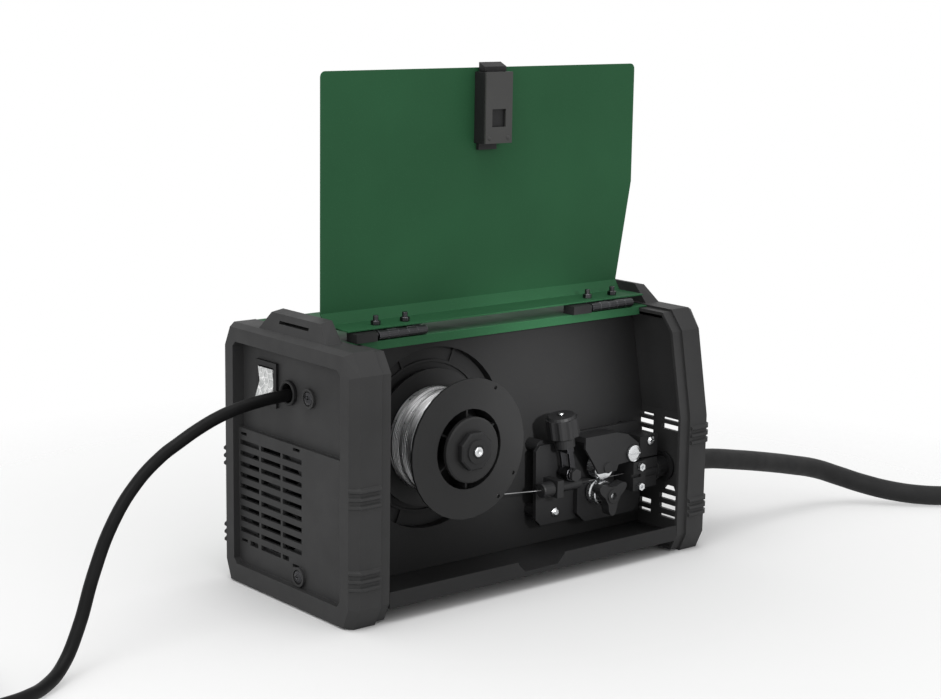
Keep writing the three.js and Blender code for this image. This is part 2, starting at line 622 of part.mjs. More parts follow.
// The wire runs from the spool's underside through the feeder to the torch.
function weldingWire() {
  const [x, z] = [22, WIRE.z];
  const centre = new THREE.Vector2(WELL.x, WELL.z);
  const inlet = new THREE.Vector2(x, z);
  const reach = SPOOL.wound + WIRE.radius + 0.4;
  const away = centre.distanceTo(inlet);
  const toCentre = Math.atan2(centre.y - inlet.y, centre.x - inlet.x);
  const angle = toCentre + Math.asin(reach / away);
  const length = Math.sqrt(away * away - reach * reach) - 3;
  const start = [x + length * Math.cos(angle), WIRE.y, z + length * Math.sin(angle)];
  const route = [start, [0, WIRE.y, z + 22 * Math.tan(Math.PI - angle)], [x + 4, WIRE.y, z], [60, WIRE.y, z],
    [ROLLER.x, WIRE.y, z], [125, WIRE.y, z]];
  return tube(route, WIRE.radius, 8, 24);
}

// ---- Wire feeder ------------------------------------------------------------------------

function feederPlate() {
  const { near, far } = FEEDER;
  const outline = [[27, 36], [32, 31], [128, 31], [134, 37], [134, 92], [128, 97.6], [64, 97.6],
    [58, 92], [30, 92], [26, 88]];
  const bearing = ring(4, 20, 0, ROLLER.x, DRIVE_Z);
  const sheet = plate('y', near, far, outline, [bearing]);
  const feet = [[34, 40], [126, 90], [34, 90]].map(([x, z]) => rod('y', far - 0.5, WALL_Y - 0.3, 5,
    x, z, 16));
  const guideLug = box(33.5, 39.5, WIRE.y - 6, near + 0.5, WIRE.z - 6.5, WIRE.z + 6.5);
  const guideBoss = join(rod('x', 39, 60, 3.8, WIRE.y, WIRE.z),
    box(41, 59, WIRE.y, near + 0.5, WIRE.z - 2, WIRE.z + 2));
  const tensionPin = join(rod('y', WIRE.y - 7, near + 0.5, 2.4, TENSION_PIVOT.x, TENSION_PIVOT.z, 16),
    rod('y', WIRE.y - 8.8, WIRE.y - 6, 5, TENSION_PIVOT.x, TENSION_PIVOT.z, 6));
  const pivotPost = cut(rod('y', WIRE.y - 6, near + 0.5, 6.2, ARM_PIVOT.x, ARM_PIVOT.z, 24),
    rod('y', WIRE.y - 8, WIRE.y + 4, 2.2, ARM_PIVOT.x, ARM_PIVOT.z, 16));
  const pivotBlock = box(115.6, 134, WIRE.y - 7, near + 0.5, 73.6, 90);
  const guideSeat = cut(join(guideLug, guideBoss), rod('x', 30, 62, 2.4, WIRE.y, WIRE.z),
    rod('x', 30, 42, 3.3, WIRE.y, WIRE.z));
  return join(sheet, feet, guideSeat, tensionPin, pivotPost, pivotBlock);
}

const PLATE_SCREWS = [
  { name: 'lower_plate_screw', x: 45.5, z: 39.5, face: FEEDER.near },
  { name: 'upper_plate_screw', x: 126, z: 86, face: WIRE.y - 7 },
];

// Pan-headed screws that hold the plate and its pivot block.
function plateScrew({ name, x, z, face }) {
  const head = turned('y', [x, 0, z], [[face - 0.3, 0], [face - 0.3, 3.4], [face - 1.2, 3.4],
    [face - 2.2, 2], [face - 2.2, 0]], 16);
  part(name, cut(head, box(x - 2, x + 2, face - 3, face - 1.5, z - 0.4, z + 0.4)), STEEL);
}

function gearHousing() {
  const outline = [[72, 28.5], [122, 28.5], [128, 34.5], [128, 46.5], [102, 49], [94, 60], [68, 62],
    [64, 56], [64, 36]];
  return cut(plate('y', FEEDER.near - 4.6, FEEDER.near - 0.3, outline),
    rod('y', -60, -30, 4.2, ROLLER.x, DRIVE_Z, 20));
}

function feedMotor() {
  const near = WALL_Y + WALL_THICK + 0.3;
  const profile = [[near, 0], [near, 16], [near + 10, 16], [near + 10, 19.5], [near + 58, 19.5],
    [near + 60, 17], [near + 60, 6], [near + 64, 6], [near + 64, 0]];
  const body = turned('y', [ROLLER.x, 0, DRIVE_Z], profile, 24);
  return cut(body, rod('y', near - 1, near + 8, 3.2, ROLLER.x, DRIVE_Z));
}

function driveRoller() {
  const { near, far, radius, x } = ROLLER;
  const groove = WIRE.y;
  const profile = [[-64, 0], [-64, 2.6], [near - 1.2, 2.6], [near - 1.2, 5], [near, 5],
    [near, radius - 0.6], [near + 0.6, radius], [groove - 0.9, radius], [groove, radius - 0.8],
    [groove + 0.9, radius], [far - 0.6, radius], [far, radius - 0.6], [far, 3], [-16, 3], [-16, 0]];
  return turned('y', [x, 0, DRIVE_Z], profile, 24);
}

function pressureRoller() {
  const { near, far, radius, x } = ROLLER;
  const profile = [[near, 2.6], [near, radius - 0.6], [near + 0.6, radius], [far - 0.6, radius],
    [far, radius - 0.6], [far, 2.6], [near, 2.6]];
  return turned('y', [x, 0, PRESSURE_Z], profile, 24);
}

// The hinged arm that carries the pressure roller: a cheek, a top bar and the roller's axle.
function pressureArm() {
  const [near, far] = [WIRE.y - 8.7, WIRE.y - 6.5];
  const cheek = [[58, 97.5], [89, 97.5], [101, 94.6], [112.5, 86], [113.5, 79], [111, 74], [104, 73.4],
    [92, 72.5], [90, 68], [72, 68], [67, 76], [58, 88.8]];
  const bar = [[58, 97.5], [89, 97.5], [101, 94.6], [100, 90.6], [88.4, 93.3], [58, 93.3]];
  const axle = rod('y', far - 0.5, ROLLER.far + 1.5, 2.5, ROLLER.x, PRESSURE_Z, 20);
  const cap = rod('y', near - 1, near + 0.5, 4, ROLLER.x, PRESSURE_Z, 20);
  const sheet = plate('y', near, far, cheek, [ring(3.1, 20, 0, ARM_PIVOT.x, ARM_PIVOT.z)]);
  return join(sheet, plate('y', near, WIRE.y + 6, bar), axle, cap);
}

function pivotScrew() {
  const { x, z } = ARM_PIVOT;
  const y = WIRE.y;
  const head = turned('y', [x, 0, z], [[y - 11.6, 0], [y - 11.6, 4], [y - 11, 6.3], [y - 9.2, 6.3],
    [y - 9.2, 0]], 24);
  const slot = box(x - 7, x + 7, y - 12, y - 10.8, z - 0.6, z + 0.6);
  return cut(join(head, rod('y', y - 9.5, y - 6.2, 2.9, x, z), rod('y', y - 6.5, y + 3, 2, x, z, 16)), slot);
}

// Parts of the tension screw are drawn upright on its pivot and then leaned back.
function tilted(shape) {
  return moved(shape.rotate([0, -TENSION_TILT, 0]), TENSION_PIVOT.x, WIRE.y, TENSION_PIVOT.z);
}

function tensionRod() {
  const eye = pipe('y', -3.6, 3.6, 5, 2.6, 0, 0, 20);
  const legs = [-1, 1].map((side) => box(-2, 2, side * 4.6 - 1.1, side * 4.6 + 1.1, -1, 21));
  const legEnds = [-1, 1].map((side) => cut(rod('y', side * 4.6 - 1.1, side * 4.6 + 1.1, 4.6, 0, 0, 20),
    rod('y', -9, 9, 2.6, 0, 0, 20)));
  const yoke = box(-3, 3, -5.7, 5.7, 17.5, 21);
  return tilted(cut(join(eye, legs, legEnds, yoke, rod('z', 20, 47, 2.2, 0, 0, 16)),
    rod('y', -9, 9, 2.6, 0, 0, 20)));
}

function tensionKnob() {
  const grip = Array.from({ length: 40 }, (_, i) => {
    const radius = i % 4 < 2 ? 12.2 : 11.4;
    const angle = (2 * Math.PI * i) / 40;
    return [radius * Math.cos(angle), radius * Math.sin(angle)];
  });
  const top = plate('z', 30, 44, grip);
  const cap = turned('z', [0, 0, 0], [[43.5, 0], [43.5, 11], [46, 9.8], [46, 0]], 24);
  const collar = turned('z', [0, 0, 0], [[21.4, 0], [21.4, 7.6], [27.5, 7.6], [30.5, 9], [30.5, 0]], 24);
  return tilted(cut(join(top, cap, collar), rod('z', 20, 47, 2.3, 0, 0, 16)));
}

function rollerKnob() {
  const lobes = Array.from({ length: 48 }, (_, i) => {
    const angle = -Math.PI / 2 + (2 * Math.PI * i) / 48;
    const radius = 7.2 + 8.3 * (0.5 + 0.5 * Math.cos(3 * (angle + Math.PI / 2))) ** 2.4;
    return [ROLLER.x + radius * Math.cos(angle), DRIVE_Z + radius * Math.sin(angle)];
  });
  const hub = rod('y', -66.3, -60, 5.4, ROLLER.x, DRIVE_Z, 24);
  return cut(join(plate('y', -65.5, -57.4, lobes), hub), rod('y', -70, -50, 2.8, ROLLER.x, DRIVE_Z, 16));
}

function inletGuide() {
  const profile = [[22, 1], [22, 5], [23, 5.6], [32, 5.6], [33, 5], [33, 3.1], [41, 3.1], [41, 1.6],
    [69.5, 1.6], [69.5, 1], [22, 1]];
  return turned('x', [0, WIRE.y, WIRE.z], profile, 20);
}

const CLAMP_BOLTS = [{ name: 'upper_clamp_bolt', z: 68.4 }, { name: 'lower_clamp_bolt', z: 53.2 }];
const CLAMP = { x0: 105.6, x1: 133, near: -61, low: 50, high: 72.4, boltX: 112 };

// The block that holds the torch adaptor against the feeder.
function adaptorClamp() {
  const { x0, x1, near, low, high, boltX } = CLAMP;
  const body = box(x0, x1, near, FEEDER.near - 0.3, low, high);
  const front = box(x0 + 12.8, x1 + 1, near - 1, near + 3, low - 1, high + 1);
  const bores = CLAMP_BOLTS.map(({ z }) => rod('y', near - 1, near + 9, 1.7, boltX, z, 12));
  return cut(body, front, rod('x', 118.8, x1 + 1, TORCH.adaptor + 0.3, TORCH.y, TORCH.z, 28),
    rod('x', x0 - 1, 120, 1.1, WIRE.y, WIRE.z, 12), bores,
    box(boltX - 7, boltX + 1.5, near - 1, near + 2, TORCH.z - 1.2, TORCH.z + 1.2));
}

function clampBolt({ name, z }) {
  const { near, boltX } = CLAMP;
  const head = rod('y', near - 3.2, near - 0.3, 3, boltX, z, 6);
  const shank = rod('y', near - 0.6, near + 8, 1.6, boltX, z, 12);
  part(name, cut(join(head, shank), rod('y', near - 4, near - 1.4, 1.3, boltX, z, 6)), STEEL);
}

function torchAdaptor() {
  const r = TORCH.adaptor;
  const profile = [[119.1, 1], [119.1, r - 0.8], [120, r], [133.6, r], [133.6, 9.8], [136, 9.8], [136, r],
    [146.6, r], [146.6, 11.5], [148.6, 11.5], [148.6, r], [165, r], [165, 4], [122, 4], [122, 1],
    [119.1, 1]];
  return turned('x', [0, TORCH.y, TORCH.z], profile, 20);
}

// ---- Panels, fan and inside -------------------------------------------------------------

function switchBezel() {
  const { y, z, wide, tall } = SWITCH;
  const face = -REAR_PANEL.upper;
  const frame = join(box(face - 2.2, face - 0.3, y - wide / 2, y + wide / 2, z - tall / 2, z + tall / 2),
    box(face - 1, face + 16, y - 10.7, y + 10.7, z - 13.7, z + 13.7));
  return cut(frame, box(face - 5, face + 12, y - 9, y + 9, z - 12, z + 12));
}

function rocker() {
  const { y, z } = SWITCH;
  const face = -REAR_PANEL.upper;
  const outline = [[face - 5.6, z - 11.2], [face - 1.6, z + 0.5], [face - 3, z + 11.2], [face + 7, z + 7],
    [face + 7, z - 7]];
  return plate('y', y - 8.7, y + 8.7, outline);
}

function fanFrame() {
  const { y, z, side, near, far } = FAN;
  const half = side / 2;
  const c = 4;
  const outline = [[-half + c, -half], [half - c, -half], [half, -half + c], [half, half - c],
    [half - c, half], [-half + c, half], [-half, half - c], [-half, -half + c]]
    .map(([u, v]) => [y + u, z + v]);
  const frame = plate('x', near, far, outline, [ring(38, 40, 0, y, z)]);
  const struts = [0, 120, 240].map((angle) => moved(
    box(far - 3, far, 12, 38.5, -1.5, 1.5).rotate([angle + 30, 0, 0]), 0, y, z));
  return join(frame, struts, rod('x', far - 3, far, 14, y, z, 24));
}

function fanRotor() {
  const { y, z, near, far } = FAN;
  const hub = rod('x', near + 1.5, far - 3.6, 14.5, 0, 0, 24);
  const blades = Array.from({ length: 7 }, (_, i) => hull([[-1, 13], [1, 13], [-1, 36.6], [1, 36.6]]
    .flatMap(([w, r]) => [
      [near + 2.2, r, w - 0.12 * r], [far - 4.4, r, w + 0.12 * r],
    ])).rotate([(360 / 7) * i, 0, 0]));
  return moved(join(hub, blades), 0, y, z);
}

function heatsink() {
  const fins = [];
  for (let i = 0; i < 11; i += 1) fins.push(box(-112, -34, 10 + 5.6 * i, 11.8 + 5.6 * i, 12, 58));
  return join(fins, box(-112, -34, 10, 67.8, 57, 62));
}

function inverterBoard() {
  const board = box(-118, 46, 4, 70, 62.4, 64);
  const capacitors = [[-8, 22], [-8, 48], [24, 22]].map(([x, y]) => rod('z', 63.5, 96, 11, x, y, 20));
  const modules = [-100, -70].map((x) => box(x, x + 22, 30, 60, 63.5, 74));
  return join(board, capacitors, modules, box(14, 40, 40, 64, 63.5, 82));
}

function transformer() {
  const profile = [[12, 12], [12, 25], [14, 27], [50, 27], [52, 25], [52, 12], [12, 12]];
  return turned('z', [8, 38, 0], profile, 24);
}

// Front-panel knob, drawn on a panel that faces +X and then leaned back with it.
function panelKnob({ name, y }) {
  const knob = new THREE.Group();
  knob.position.set(FRONT_PANEL.outer - LEAN * (KNOB_Z - LEAN_FROM), y, KNOB_Z);
  knob.rotation.y = -Math.atan(LEAN);
  const grip = Array.from({ length: 40 }, (_, i) => {
    const radius = i % 4 < 2 ? 12 : 11.2;
    return [radius * Math.cos((Math.PI * i) / 20), radius * Math.sin((Math.PI * i) / 20)];
  });
  const pointer = box(10.4, 12.5, -0.8, 0.8, 3, 11.5);
  const body = cut(join(plate('x', 0.4, 11.6, grip), rod('x', -5, 1, 3.1, 0, 0, 16)), pointer);
  part(name, body, DARK_PLASTIC, knob);
  machine.add(knob);
}

function earthSocket() {
  const { y, z } = EARTH;
  const profile = [[141, 6.5], [141, 10], [151.8, 10], [152.3, 10], [152.3, 16], [154.3, 16], [155.5, 14],
    [164, 12.5], [164, 6.5], [141, 6.5]];
  return cut(turned('x', [0, y, z], profile, 24), box(150, 166, y - 1.8, y + 1.8, z + 5, z + 9.5));
}

// ---- Cords ------------------------------------------------------------------------------

function cordTube({ route, radius }) {
  return tube(route, radius, 8, 30);
}

// The outer shape of a coil: a flat ring two cords high, with the cord coming in at the bottom
// and going out at the top, both on its -Y side.
function coilRing({ centre: [x, y], outer, inner, radius, side, stub }, end) {
  const [from, to, top] = [inner - radius - COIL_GAP, outer + radius + COIL_GAP, 4 * radius + 0.6];
  const turns = turned('z', [x, y, 0], [[0.1, from], [0.1, to], [top, to], [top, from], [0.1, from]], 28);
  const way = tube([[x, y - outer, radius + 0.25], [x - side * stub, y - outer, radius + 0.25]],
    radius, 8, 1);
  const out = tube([[x, y - outer, 3 * radius], [x + side * stub * 0.35, y - outer, 3 * radius],
    [end.x - side * 12, y - outer, end.z], [end.x - side * 0.4, y - outer, end.z]], radius, 8, 9);
  return join(turns, way, out);
}

function mainsGland() {
  const face = -REAR_PANEL.upper;
  const profile = [[face + 2, 6.6], [face + 2, 7.4], [face - 0.3, 7.4], [face - 0.3, 8.8],
    [face - 2.6, 8.8], [face - 3.2, 8.2], [face - 3.2, 7.4], [face - 2.4, 6.6], [face + 2, 6.6]];
  return turned('x', [0, GLAND.y, GLAND.z], profile, 24);
}

// A straight two-pin plug on its side, with a flexible sleeve where the lead goes in.
function mainsPlug() {
  const { x, z } = PLUG;
  const y = MAINS.centre[1] - MAINS.outer;
  const profile = [[0, 0], [0, 5.6], [-20, 7.4], [-22, 15], [-26, 18.6], [-46, 19], [-48, 17.5],
    [-48, 0]];
  const pins = [-9.5, 9.5].map((side) => rod('x', x - 67, x - 47, 2.4, y + side, z, 10));
  return join(turned('x', [x, y, z], profile, 20), pins);
}

function torchGland() {
  const { outer } = FRONT_PANEL;
  const profile = [[outer + 0.3, 8.7], [outer + 0.3, 13.8], [outer + 6, 13.8], [outer + 7, 12.6],
    [outer + 14, 12], [outer + 14, 8.7], [outer + 0.3, 8.7]];
  return turned('x', [0, TORCH.y, TORCH.z], profile, 20);
}

// The torch lies on its side, with its trigger and swan neck turned towards +Y.
const TORCH_Y = TORCH_CABLE.centre[1] - TORCH_CABLE.outer;
const TRIGGER = { x0: 86, x1: 122, half: 4.6 };

function torchHandle() {
  const { x, z } = HANDLE;
  const body = turned('x', [x, TORCH_Y, z], [[0, 0], [0, 10.6], [30, 12.4], [38, 16.8], [70, 15.2],
    [116, 15.6], [138, 14.4], [144, 12.4], [144, 0]], 20);
  const slot = box(x + TRIGGER.x0 - 0.6, x + TRIGGER.x1 + 0.6, TORCH_Y + 5, TORCH_Y + 20,
    z - TRIGGER.half - 0.5, z + TRIGGER.half + 0.5);
  return cut(body, slot, rod('x', x + 134, x + 146, 8.1, TORCH_Y, z, 16));
}

function torchTrigger() {
  const { x0, x1, half } = TRIGGER;
  const outline = [[x0, 8.4], [x1, 8.4], [x1, 15.4], [x1 - 5, 19.2], [x1 - 16, 17.6], [x0 + 8, 17.6],
    [x0, 15.6]].map(([x, y]) => [HANDLE.x + x, TORCH_Y + y]);
  return plate('z', HANDLE.z - half, HANDLE.z + half, outline);
}

function swanNeck() {
  const start = HANDLE.x + 134.4;
  const route = [[0, 0], [14, 0], [26, 1.5], [37, 7], [45, 15.5], [52, 25]]
    .map(([dx, dy]) => [start + dx, TORCH_Y + dy, HANDLE.z]);
  const nozzle = turned('z', [0, 0, 0], [[-6, 0], [-6, 8.4], [-4, 9.6], [26, 9.6], [38, 8], [38, 6.6],
    [22, 6.6], [22, 2.4], [36, 2.4], [36, 0]], 16);
  const heading = nozzle.rotate([0, 90, 0]).rotate([0, 0, 53]);
  return join(tube(route, 7.6, 12, 8), moved(heading, start + 54, TORCH_Y + 27.6, HANDLE.z));
}

// ---- Build ------------------------------------------------------------------------------

part('rear_cap', rearCap(), BLACK_PLASTIC);
part('front_cap', frontCap(), BLACK_PLASTIC);
REAR_SCREWS.forEach(rearScrew);
part('base_tray', baseTray(), BLACK_SHEET);
part('divider_wall', dividerWall(), BLACK_SHEET);
part('top_cover', topCover(), GREEN_SHEET);

hinges();
part('rear_door_buffer', doorBuffer(-142.2), RUBBER);
part('front_door_buffer', doorBuffer(53.6), RUBBER);
doorPart('door', doorSheet(), GREEN_SHEET);
doorPart('latch_housing', latchHousing(), DARK_PLASTIC);
doorPart('latch_plate', latchPlate(), ALUMINIUM);
doorPart('latch_bolt', latchBolt(), DARK_PLASTIC);

part('spool_spindle', spindle(), DARK_PLASTIC);
part('wire_spool', wireSpool(), BLACK_PLASTIC);
part('wire_winding', winding(), STEEL);
part('spool_cup', retainingCup(), DARK_PLASTIC);
part('spool_knob', spoolKnob(), DARK_PLASTIC);
part('welding_wire', weldingWire(), STEEL);

part('feeder_plate', feederPlate(), DARK_PLASTIC);
PLATE_SCREWS.forEach(plateScrew);
part('gear_housing', gearHousing(), DARK_PLASTIC);
part('feed_motor', feedMotor(), STEEL);
part('drive_roller', driveRoller(), STEEL);
part('pressure_roller', pressureRoller(), STEEL);
part('pressure_arm', pressureArm(), DARK_PLASTIC);
part('arm_pivot_screw', pivotScrew(), STEEL);
part('tension_rod', tensionRod(), BLACK_STEEL);
part('tension_knob', tensionKnob(), DARK_PLASTIC);
part('roller_knob', rollerKnob(), DARK_PLASTIC);
part('inlet_guide', inletGuide(), BRASS);
part('adaptor_clamp', adaptorClamp(), DARK_PLASTIC);
CLAMP_BOLTS.forEach(clampBolt);
part('torch_adaptor', torchAdaptor(), DARK_PLASTIC);

part('switch_bezel', switchBezel(), DARK_PLASTIC);
part('power_rocker', rocker(), CLEAR_PLASTIC);
part('fan_frame', fanFrame(), DARK_PLASTIC);
part('fan_rotor', fanRotor(), DARK_PLASTIC);
part('heatsink', heatsink(), ALUMINIUM);
part('inverter_board', inverterBoard(), BOARD_GREEN);
part('transformer', transformer(), COPPER);
KNOBS.forEach(panelKnob);
part('earth_socket', earthSocket(), DARK_PLASTIC);

part('mains_gland', mainsGland(), DARK_PLASTIC);
part('mains_lead', cordTube(MAINS), RUBBER);
part('mains_coil', coilRing(MAINS, PLUG), RUBBER);
part('mains_plug', mainsPlug(), RUBBER);
part('torch_gland', torchGland(), DARK_PLASTIC);
part('torch_cable', cordTube(TORCH_CABLE), RUBBER);
part('torch_coil', coilRing(TORCH_CABLE, HANDLE), RUBBER);
part('torch_handle', torchHandle(), DARK_PLASTIC);
part('torch_trigger', torchTrigger(), RUBBER);
part('torch_neck', swanNeck(), BRASS);

export default machine;
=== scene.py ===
"""A small MIG welding machine with its side door open: materials, cords, light and camera."""
import json
import math

import bpy
from mathutils import Matrix, Vector


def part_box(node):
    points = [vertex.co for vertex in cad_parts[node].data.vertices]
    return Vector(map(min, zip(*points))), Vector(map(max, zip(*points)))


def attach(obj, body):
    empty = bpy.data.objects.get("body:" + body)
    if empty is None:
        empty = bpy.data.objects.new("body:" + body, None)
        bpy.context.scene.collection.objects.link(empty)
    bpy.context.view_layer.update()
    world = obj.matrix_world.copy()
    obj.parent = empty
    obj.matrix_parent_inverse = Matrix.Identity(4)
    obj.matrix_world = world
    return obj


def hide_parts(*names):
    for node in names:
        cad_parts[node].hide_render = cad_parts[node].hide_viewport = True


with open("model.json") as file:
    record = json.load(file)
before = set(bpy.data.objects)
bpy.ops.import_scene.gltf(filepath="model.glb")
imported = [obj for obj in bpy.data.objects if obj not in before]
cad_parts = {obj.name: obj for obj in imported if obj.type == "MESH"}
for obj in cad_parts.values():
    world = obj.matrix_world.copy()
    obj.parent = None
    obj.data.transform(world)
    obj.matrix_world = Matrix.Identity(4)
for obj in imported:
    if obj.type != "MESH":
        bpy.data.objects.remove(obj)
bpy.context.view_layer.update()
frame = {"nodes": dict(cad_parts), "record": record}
NODES = frame["nodes"]

MM = 0.001

# ---- Cords: the same routes as the CAD source, in millimetres ---------------------------------

MAINS = {
    "radius": 4.25, "side": -1, "centre": (-462, -10), "outer": 57, "inner": 35.5, "turns": 5,
    "route": [
        (-157, 7, 146), (-180, 7, 144.8), (-200, 7, 142), (-214, 7, 138.7), (-231, 7, 132.5),
        (-248, 6.4, 124.7), (-262, 5, 118), (-284, 1, 103), (-306, -7, 82), (-326, -18, 55),
        (-344, -31, 28), (-362, -43, 10), (-380, -55, 4.7), (-397, -63.7, 4.5), (-413, -67, 4.5),
        (-428, -67, 4.5), (-445, -67, 4.5),
    ],
    "end": (-498.3, 19.4),
}
TORCH = {
    "radius": 8, "side": 1, "centre": (686, -40), "outer": 92, "inner": 67.7, "turns": 3,
    "route": [
        (165.6, -50, 61.5), (180, -50, 61.2), (196, -50, 59.9), (228, -50, 54.3), (268, -50, 46.2),
        (295, -50, 40.1), (327, -51.5, 32), (347, -57.5, 24.5), (366, -69, 17), (384, -85, 11.5),
        (402, -102, 8.8), (421, -117, 8.3), (444, -127.5, 8.3), (472, -132, 8.3), (510, -132, 8.3),
        (550, -132, 8.3), (590, -132, 8.3), (622, -132, 8.3), (655, -132, 8.3),
    ],
    "end": (749, 17.6),
}
CLIMB = 0.2                # share of a turn in which the cord climbs to the coil's upper layer
POINTS_PER_TURN = 16
INSIDE = 5                 # how far the cord goes into its plug or torch


def ease(t):
    t = min(1.0, max(0.0, t))
    return t * t * (3 - 2 * t)


def coil_points(cord):
    """The turns of a two-layer coil: inwards on the floor, outwards on top."""
    (x, y), outer, inner, r = cord["centre"], cord["outer"], cord["inner"], cord["radius"]
    half = cord["turns"] / 2
    points = []
    for i in range(cord["turns"] * POINTS_PER_TURN + 1):
        turn = i / POINTS_PER_TURN
        if turn <= half:
            across = outer - (outer - inner) * turn / half
        else:
            across = inner + (outer - inner) * max(0, turn - half - CLIMB) / (half - CLIMB)
        angle = -math.pi / 2 + cord["side"] * 2 * math.pi * turn
        height = r + 0.2 + 2 * r * ease((turn - half) / CLIMB)
        points.append((x + across * math.cos(angle), y + across * math.sin(angle), height))
    return points


def cord_path(cord):
    coil = coil_points(cord)
    (end_x, end_z), side, last = cord["end"], cord["side"], coil[-1]
    lift = 4               # turns' points that already slope towards the plug or torch
    steps = 4
    run = coil[-lift:] + [
        (last[0] + (end_x + side * INSIDE - last[0]) * k / steps, last[1], last[2])
        for k in range(1, steps + 1)
    ]
    sloped = [
        (px, py, last[2] + (end_z - last[2]) * ease((k + 1) / (len(run) - 1)))
        for k, (px, py, _) in enumerate(run)
    ]
    return [Vector(p) * MM for p in cord["route"] + coil[:-lift] + sloped]


def make_cord(name, cord, material, nodes):
    path = cord_path(cord)
    curve = bpy.data.curves.new(name, "CURVE")
    curve.dimensions = "3D"
    curve.bevel_depth = cord["radius"] * MM
    curve.bevel_resolution = 6
    curve.use_fill_caps = True
    curve.resolution_u = 6
    spline = curve.splines.new("BEZIER")
    spline.bezier_points.add(len(path) - 1)
    for point, place in zip(spline.bezier_points, path):
        point.co = place
        point.handle_left_type = point.handle_right_type = "AUTO"
    piece = bpy.data.objects.new(name, curve)
    bpy.context.collection.objects.link(piece)
    curve.materials.append(material)
    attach(piece, "machine")
    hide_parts(*nodes)
    return piece


# ---- Camera -----------------------------------------------------------------------------------

CAMERA_PLACE = (-0.90243, -1.08312, 0.4339)
CAMERA_TURN = (39.65, 10.96, 0.89)         # yaw from +Y towards +X, pitch down, roll, in degrees
CAMERA_LENS = 75.07
SENSOR_WIDTH = 36


def make_camera():
    yaw, pitch, roll = (math.radians(angle) for angle in CAMERA_TURN)
    ahead = Vector((math.sin(yaw) * math.cos(pitch), math.cos(yaw) * math.cos(pitch),
                    -math.sin(pitch)))
    right = Vector((math.cos(yaw), -math.sin(yaw), 0))
    up = right.cross(ahead)
    tilted_right = right * math.cos(roll) + up * math.sin(roll)
    tilted_up = up * math.cos(roll) - right * math.sin(roll)
    data = bpy.data.cameras.new("camera")
    data.sensor_width = SENSOR_WIDTH
    data.lens = CAMERA_LENS
    data.clip_start = 0.05
    camera = bpy.data.objects.new("camera", data)
    bpy.context.collection.objects.link(camera)
    turn = camera.matrix_world.to_3x3()
    for column, direction in enumerate((tilted_right, tilted_up, -ahead)):
        for row in range(3):
            turn[row][column] = direction[row]
    camera.matrix_world = turn.to_4x4()
    camera.location = CAMERA_PLACE
    bpy.context.scene.camera = camera


# ---- Material building blocks -----------------------------------------------------------------

def link(tree, source, target):
    tree.links.new(source, target)


def node(tree, kind, **inputs):
    made = tree.nodes.new(kind)
    for name, value in inputs.items():
        made.inputs[name.replace("_", " ")].default_value = value
    return made


def start_material(name):
    material = bpy.data.materials.new(name)
    material.use_nodes = True
    tree = material.node_tree
    shader = tree.nodes["Principled BSDF"]
    place = tree.nodes.new("ShaderNodeTexCoord").outputs["Object"]
    return material, tree, shader, place


def noise(tree, place, scale, detail=4.0, stretch=None):
    made = node(tree, "ShaderNodeTexNoise", Scale=scale, Detail=detail)
    if stretch:
        mapping = tree.nodes.new("ShaderNodeMapping")
        mapping.inputs["Scale"].default_value = stretch
        link(tree, place, mapping.inputs["Vector"])
        place = mapping.outputs["Vector"]
    link(tree, place, made.inputs["Vector"])
    return made.outputs["Fac"]


def remap(tree, value, low, high, start=0.3, stop=0.7):
    made = tree.nodes.new("ShaderNodeMapRange")
    made.inputs["From Min"].default_value = start
    made.inputs["From Max"].default_value = stop
    made.inputs["To Min"].default_value = low
    made.inputs["To Max"].default_value = high
    link(tree, value, made.inputs["Value"])
    return made.outputs["Result"]


def mix(tree, amount, first, second):
    """A colour between two colours, or between a colour socket and a colour."""
    made = tree.nodes.new("ShaderNodeMix")
    made.data_type = "RGBA"
    link(tree, amount, made.inputs["Factor"])
    first_colour, second_colour, blended = made.inputs[6], made.inputs[7], made.outputs[2]
    for socket, value in ((first_colour, first), (second_colour, second)):
        if isinstance(value, bpy.types.NodeSocket):
            link(tree, value, socket)
        else:
            socket.default_value = (*value, 1)
    return blended


def scaled(colour, factor):
    return tuple(min(1.0, c * factor) for c in colour)


def soft_edge(tree, radius):
    """A normal that rounds the part's sharp edges, and a mask of those edges."""
    bevel = tree.nodes.new("ShaderNodeBevel")
    bevel.samples = 4
    bevel.inputs["Radius"].default_value = radius
    geometry = tree.nodes.new("ShaderNodeNewGeometry")
    dot = tree.nodes.new("ShaderNodeVectorMath")
    dot.operation = "DOT_PRODUCT"
    link(tree, bevel.outputs["Normal"], dot.inputs[0])
    link(tree, geometry.outputs["Normal"], dot.inputs[1])
    return bevel.outputs["Normal"], remap(tree, dot.outputs["Value"], 1.0, 0.0, 0.8, 0.99)


def bump(tree, shader, height, strength, distance, normal=None):
    made = node(tree, "ShaderNodeBump", Strength=strength, Distance=distance)
    link(tree, height, made.inputs["Height"])
    if normal:
        link(tree, normal, made.inputs["Normal"])
    link(tree, made.outputs["Normal"], shader.inputs["Normal"])
    return made.outputs["Normal"]


